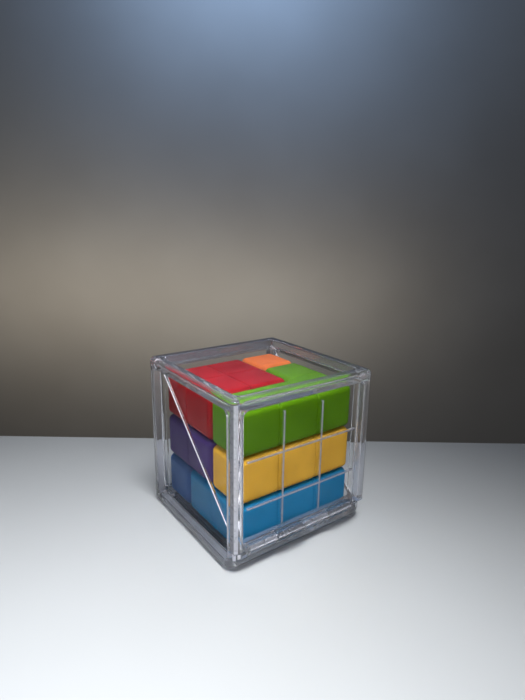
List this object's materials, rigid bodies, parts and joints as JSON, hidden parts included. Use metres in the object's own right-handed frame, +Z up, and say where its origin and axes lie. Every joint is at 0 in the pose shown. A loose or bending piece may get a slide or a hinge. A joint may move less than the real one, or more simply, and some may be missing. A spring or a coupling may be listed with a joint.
{
  "type": "boxed block cube puzzle",
  "caption": "Cube puzzle of coloured interlocking block pieces, packed in a clear hinged display case whose lid swings down at the front.",
  "frame": {"origin": "middle of the closed case's footprint, on the table", "axes": "+Z up, +Y from the hinge towards the back of the case, +X along the hinge to the right as seen from the front"},
  "size_m": [0.0718, 0.0718, 0.0726],
  "materials": {
    "clear_case": "clear and glossy, very slightly blue-grey",
    "pin_steel": "plain drawn wire",
    "magnet_nickel": "bright nickel plate",
    "green": "smooth glossy opaque moulding",
    "red": "smooth glossy opaque moulding",
    "yellow": "smooth glossy opaque moulding",
    "light_blue": "smooth glossy opaque moulding",
    "purple": "smooth glossy opaque moulding",
    "dark_blue": "smooth glossy opaque moulding",
    "orange": "smooth glossy opaque moulding"
  },
  "bodies": {
    "base": {"case_base": "clear_case", "hinge_pin": "pin_steel"},
    "lid": {"case_lid": "clear_case"},
    "green": {"green_shell": "green", "green_cap": "green", "green_magnet_1": "magnet_nickel", "green_magnet_2": "magnet_nickel", "green_magnet_3": "magnet_nickel", "green_magnet_4": "magnet_nickel"},
    "red": {"red_shell": "red", "red_cap": "red", "red_magnet_1": "magnet_nickel", "red_magnet_2": "magnet_nickel", "red_magnet_3": "magnet_nickel", "red_magnet_4": "magnet_nickel"},
    "yellow": {"yellow_shell": "yellow", "yellow_cap": "yellow", "yellow_magnet_1": "magnet_nickel", "yellow_magnet_2": "magnet_nickel", "yellow_magnet_3": "magnet_nickel", "yellow_magnet_4": "magnet_nickel"},
    "light_blue": {"light_blue_shell": "light_blue", "light_blue_cap": "light_blue", "light_blue_magnet_1": "magnet_nickel", "light_blue_magnet_2": "magnet_nickel", "light_blue_magnet_3": "magnet_nickel", "light_blue_magnet_4": "magnet_nickel"},
    "purple": {"purple_shell": "purple", "purple_cap": "purple", "purple_magnet_1": "magnet_nickel", "purple_magnet_2": "magnet_nickel", "purple_magnet_3": "magnet_nickel"},
    "dark_blue": {"dark_blue_shell": "dark_blue", "dark_blue_cap": "dark_blue", "dark_blue_magnet_1": "magnet_nickel", "dark_blue_magnet_2": "magnet_nickel", "dark_blue_magnet_3": "magnet_nickel", "dark_blue_magnet_4": "magnet_nickel"},
    "orange": {"orange_shell": "orange", "orange_cap": "orange", "orange_magnet_1": "magnet_nickel", "orange_magnet_2": "magnet_nickel", "orange_magnet_3": "magnet_nickel", "orange_magnet_4": "magnet_nickel"}
  },
  "joints": [
    {"name": "lid_hinge", "type": "hinge", "parent": "base", "child": "lid", "pos_m": [0, -0.0335, 0.0089], "axis": [1, 0, 0], "range_deg": [0, 95]},
    {"name": "green_play", "type": "slide", "parent": "base", "child": "green", "axis": [0, 0, 1], "range_m": [0, 0.0018]},
    {"name": "red_play", "type": "slide", "parent": "base", "child": "red", "axis": [0, 0, 1], "range_m": [0, 0.0018]},
    {"name": "yellow_play", "type": "slide", "parent": "base", "child": "yellow", "axis": [0, -1, 0], "range_m": [0, 0.0006]},
    {"name": "light_blue_play", "type": "slide", "parent": "base", "child": "light_blue", "axis": [0, -1, 0], "range_m": [0, 0.0006]},
    {"name": "purple_play", "type": "slide", "parent": "base", "child": "purple", "axis": [-1, 0, 0], "range_m": [0, 0.0006]},
    {"name": "dark_blue_play", "type": "slide", "parent": "base", "child": "dark_blue", "axis": [0, 1, 0], "range_m": [0, 0.0006]},
    {"name": "orange_play", "type": "slide", "parent": "base", "child": "orange", "axis": [1, 0, 0], "range_m": [0, 0.0006]}
  ]
}
